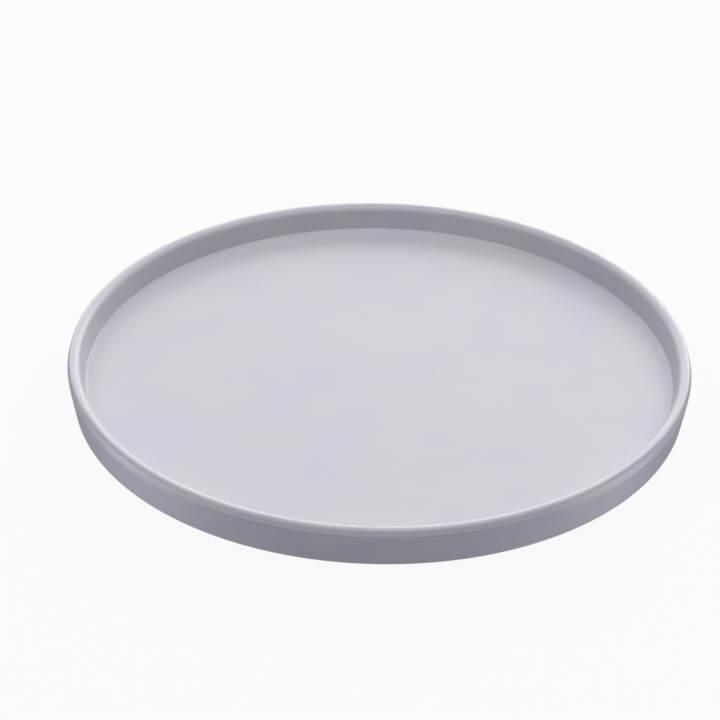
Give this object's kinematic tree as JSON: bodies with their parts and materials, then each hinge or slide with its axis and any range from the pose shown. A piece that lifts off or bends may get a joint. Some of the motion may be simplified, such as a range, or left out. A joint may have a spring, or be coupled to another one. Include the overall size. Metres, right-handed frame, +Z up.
{
  "type": "lazy susan turntable",
  "caption": "Round low-walled moulded tray that turns freely on a caged ring of balls above a smaller base with rubber feet.",
  "frame": {"origin": "on the turning axis, on the surface that the feet stand on", "axes": "+Z up along the turning axis; +X through the middle of the first foot; the object is round, so X and Y are alike"},
  "size_m": [0.3, 0.3, 0.0253],
  "materials": {
    "tray_plastic": "pale lilac-grey moulded plastic, fine matte texture",
    "base_plastic": "the same plastic, a little rougher from the mould",
    "cage_plastic": "natural acetal, smooth",
    "ball_steel": "polished bearing steel",
    "foot_rubber": "soft grey rubber",
    "zinc_steel": "bright zinc plate"
  },
  "bodies": {
    "base": {"base": "base_plastic", "foot_1": "foot_rubber", "foot_2": "foot_rubber", "foot_3": "foot_rubber", "foot_4": "foot_rubber", "foot_5": "foot_rubber", "foot_6": "foot_rubber"},
    "tray": {"tray": "tray_plastic", "pivot_screw": "zinc_steel", "pivot_washer": "zinc_steel"},
    "ball_cage": {"ball_cage": "cage_plastic"},
    "ball_01": {"ball_01": "ball_steel"},
    "ball_02": {"ball_02": "ball_steel"},
    "ball_03": {"ball_03": "ball_steel"},
    "ball_04": {"ball_04": "ball_steel"},
    "ball_05": {"ball_05": "ball_steel"},
    "ball_06": {"ball_06": "ball_steel"},
    "ball_07": {"ball_07": "ball_steel"},
    "ball_08": {"ball_08": "ball_steel"},
    "ball_09": {"ball_09": "ball_steel"},
    "ball_10": {"ball_10": "ball_steel"},
    "ball_11": {"ball_11": "ball_steel"},
    "ball_12": {"ball_12": "ball_steel"},
    "ball_13": {"ball_13": "ball_steel"},
    "ball_14": {"ball_14": "ball_steel"},
    "ball_15": {"ball_15": "ball_steel"},
    "ball_16": {"ball_16": "ball_steel"}
  },
  "joints": [
    {"name": "tray_spin", "type": "hinge", "parent": "base", "child": "tray", "pos_m": [0, 0, 0.0135], "axis": [0, 0, 1], "continuous": true},
    {"name": "cage_spin", "type": "hinge", "parent": "base", "child": "ball_cage", "pos_m": [0, 0, 0.0065], "axis": [0, 0, 1], "continuous": true},
    {"name": "ball_01_roll", "type": "hinge", "parent": "ball_cage", "child": "ball_01", "pos_m": [0.075, 0, 0.0065], "axis": [1, 0, 0], "continuous": true},
    {"name": "ball_02_roll", "type": "hinge", "parent": "ball_cage", "child": "ball_02", "pos_m": [0.06929, 0.0287, 0.0065], "axis": [0.9239, 0.3827, 0], "continuous": true},
    {"name": "ball_03_roll", "type": "hinge", "parent": "ball_cage", "child": "ball_03", "pos_m": [0.05303, 0.05303, 0.0065], "axis": [0.7071, 0.7071, 0], "continuous": true},
    {"name": "ball_04_roll", "type": "hinge", "parent": "ball_cage", "child": "ball_04", "pos_m": [0.0287, 0.06929, 0.0065], "axis": [0.3827, 0.9239, 0], "continuous": true},
    {"name": "ball_05_roll", "type": "hinge", "parent": "ball_cage", "child": "ball_05", "pos_m": [0, 0.075, 0.0065], "axis": [0, 1, 0], "continuous": true},
    {"name": "ball_06_roll", "type": "hinge", "parent": "ball_cage", "child": "ball_06", "pos_m": [-0.0287, 0.06929, 0.0065], "axis": [-0.3827, 0.9239, 0], "continuous": true},
    {"name": "ball_07_roll", "type": "hinge", "parent": "ball_cage", "child": "ball_07", "pos_m": [-0.05303, 0.05303, 0.0065], "axis": [-0.7071, 0.7071, 0], "continuous": true},
    {"name": "ball_08_roll", "type": "hinge", "parent": "ball_cage", "child": "ball_08", "pos_m": [-0.06929, 0.0287, 0.0065], "axis": [-0.9239, 0.3827, 0], "continuous": true},
    {"name": "ball_09_roll", "type": "hinge", "parent": "ball_cage", "child": "ball_09", "pos_m": [-0.075, 0, 0.0065], "axis": [-1, 0, 0], "continuous": true},
    {"name": "ball_10_roll", "type": "hinge", "parent": "ball_cage", "child": "ball_10", "pos_m": [-0.06929, -0.0287, 0.0065], "axis": [-0.9239, -0.3827, 0], "continuous": true},
    {"name": "ball_11_roll", "type": "hinge", "parent": "ball_cage", "child": "ball_11", "pos_m": [-0.05303, -0.05303, 0.0065], "axis": [-0.7071, -0.7071, 0], "continuous": true},
    {"name": "ball_12_roll", "type": "hinge", "parent": "ball_cage", "child": "ball_12", "pos_m": [-0.0287, -0.06929, 0.0065], "axis": [-0.3827, -0.9239, 0], "continuous": true},
    {"name": "ball_13_roll", "type": "hinge", "parent": "ball_cage", "child": "ball_13", "pos_m": [0, -0.075, 0.0065], "axis": [0, -1, 0], "continuous": true},
    {"name": "ball_14_roll", "type": "hinge", "parent": "ball_cage", "child": "ball_14", "pos_m": [0.0287, -0.06929, 0.0065], "axis": [0.3827, -0.9239, 0], "continuous": true},
    {"name": "ball_15_roll", "type": "hinge", "parent": "ball_cage", "child": "ball_15", "pos_m": [0.05303, -0.05303, 0.0065], "axis": [0.7071, -0.7071, 0], "continuous": true},
    {"name": "ball_16_roll", "type": "hinge", "parent": "ball_cage", "child": "ball_16", "pos_m": [0.06929, -0.0287, 0.0065], "axis": [0.9239, -0.3827, 0], "continuous": true}
  ],
  "couplings": [
    {"joint": "cage_spin", "follows": "tray_spin", "ratio": 0.5},
    {"joint": "ball_01_roll", "follows": "tray_spin", "ratio": -12.5},
    {"joint": "ball_02_roll", "follows": "tray_spin", "ratio": -12.5},
    {"joint": "ball_03_roll", "follows": "tray_spin", "ratio": -12.5},
    {"joint": "ball_04_roll", "follows": "tray_spin", "ratio": -12.5},
    {"joint": "ball_05_roll", "follows": "tray_spin", "ratio": -12.5},
    {"joint": "ball_06_roll", "follows": "tray_spin", "ratio": -12.5},
    {"joint": "ball_07_roll", "follows": "tray_spin", "ratio": -12.5},
    {"joint": "ball_08_roll", "follows": "tray_spin", "ratio": -12.5},
    {"joint": "ball_09_roll", "follows": "tray_spin", "ratio": -12.5},
    {"joint": "ball_10_roll", "follows": "tray_spin", "ratio": -12.5},
    {"joint": "ball_11_roll", "follows": "tray_spin", "ratio": -12.5},
    {"joint": "ball_12_roll", "follows": "tray_spin", "ratio": -12.5},
    {"joint": "ball_13_roll", "follows": "tray_spin", "ratio": -12.5},
    {"joint": "ball_14_roll", "follows": "tray_spin", "ratio": -12.5},
    {"joint": "ball_15_roll", "follows": "tray_spin", "ratio": -12.5},
    {"joint": "ball_16_roll", "follows": "tray_spin", "ratio": -12.5}
  ]
}
